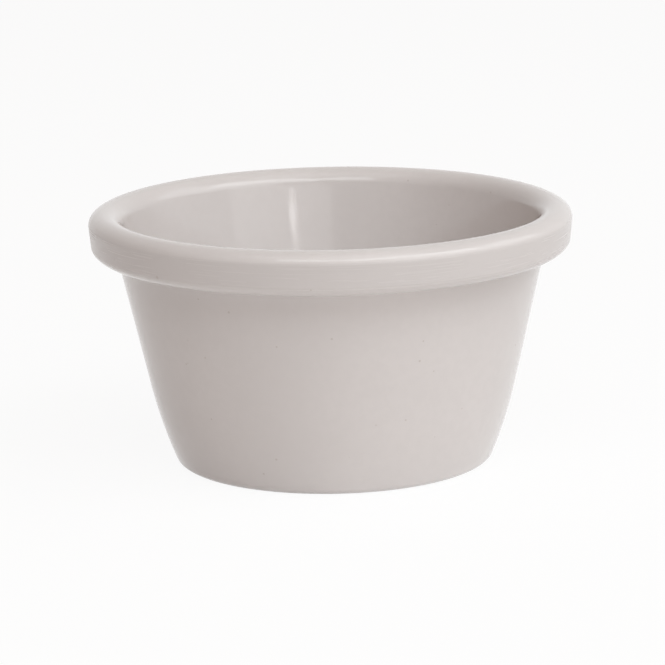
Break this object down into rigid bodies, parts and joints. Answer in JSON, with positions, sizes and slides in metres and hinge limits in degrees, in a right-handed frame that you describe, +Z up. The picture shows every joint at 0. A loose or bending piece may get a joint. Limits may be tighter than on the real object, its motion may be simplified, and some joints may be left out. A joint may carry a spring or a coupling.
{
  "type": "ramekin",
  "caption": "Small round ramekin of moulded melamine with a plain tapered wall, a thick rolled lip and a foot ring, for dips, sauces and single portions.",
  "frame": {"origin": "centre of the circle that the foot ring stands on, at table height", "axes": "+Z up along the cup's axis, from foot to mouth; the cup is round, so +X and +Y are any two radial directions, with -Y towards the picture's camera"},
  "size_m": [0.081, 0.081, 0.0429],
  "materials": {
    "melamine": "polished bone-white moulded melamine"
  },
  "bodies": {
    "root": {"ramekin_cup": "melamine"}
  },
  "joints": []
}
